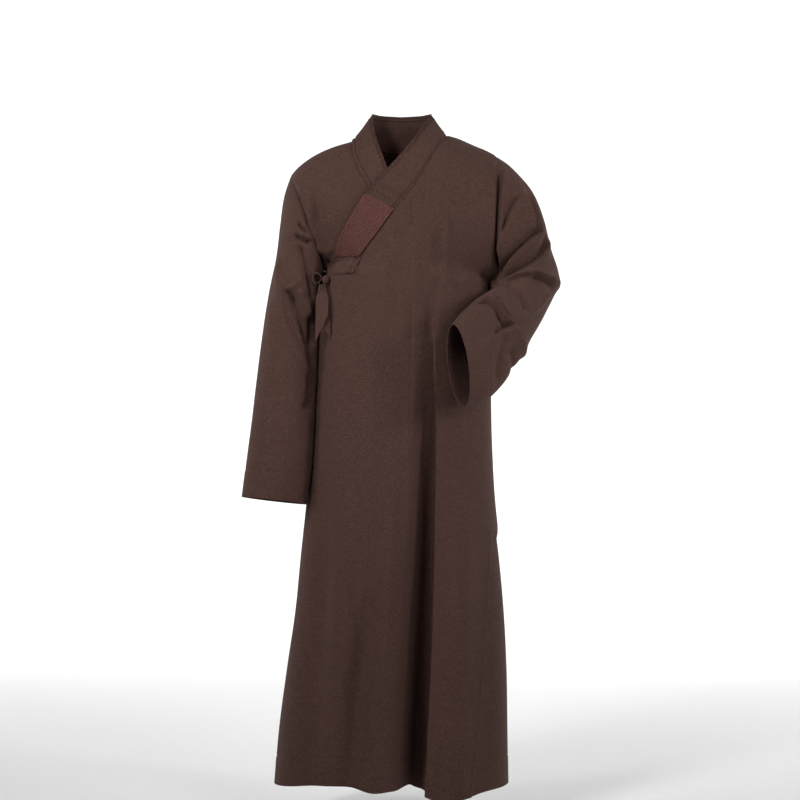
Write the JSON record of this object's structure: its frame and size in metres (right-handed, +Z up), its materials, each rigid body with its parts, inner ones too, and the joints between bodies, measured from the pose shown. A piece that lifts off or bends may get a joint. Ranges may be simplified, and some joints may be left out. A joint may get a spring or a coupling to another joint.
{
  "type": "monk robe",
  "caption": "Long worn wrap robe with crossed collar bands, a ribbed collar patch, a side tie, open cuffs and side slits, in brown cloth.",
  "frame": {"origin": "between the shoulders at the height of the neck seam, in the empty neck opening, where a stand or hanger would hold the robe", "axes": "+Z up along the robe's length, +X to the wearer's left, -Y to the front"},
  "size_m": [0.6785, 0.4233, 1.4493],
  "materials": {
    "robe_cloth": "matt heathered woven cloth, dark warm brown",
    "patch_cloth": "matt woven cloth, red-brown, sewn in close lengthwise rows"
  },
  "bodies": {
    "root": {"back_left": "robe_cloth", "back_right": "robe_cloth", "front_left": "robe_cloth", "front_overlap": "robe_cloth", "front_inner": "robe_cloth", "sleeve_left": "robe_cloth", "sleeve_right": "robe_cloth", "collar_left": "robe_cloth", "collar_right": "robe_cloth", "tie_knot": "robe_cloth", "tie_loop": "robe_cloth", "tie_tail_front": "robe_cloth", "tie_tail_back": "robe_cloth", "collar_patch": "patch_cloth"}
  },
  "joints": []
}
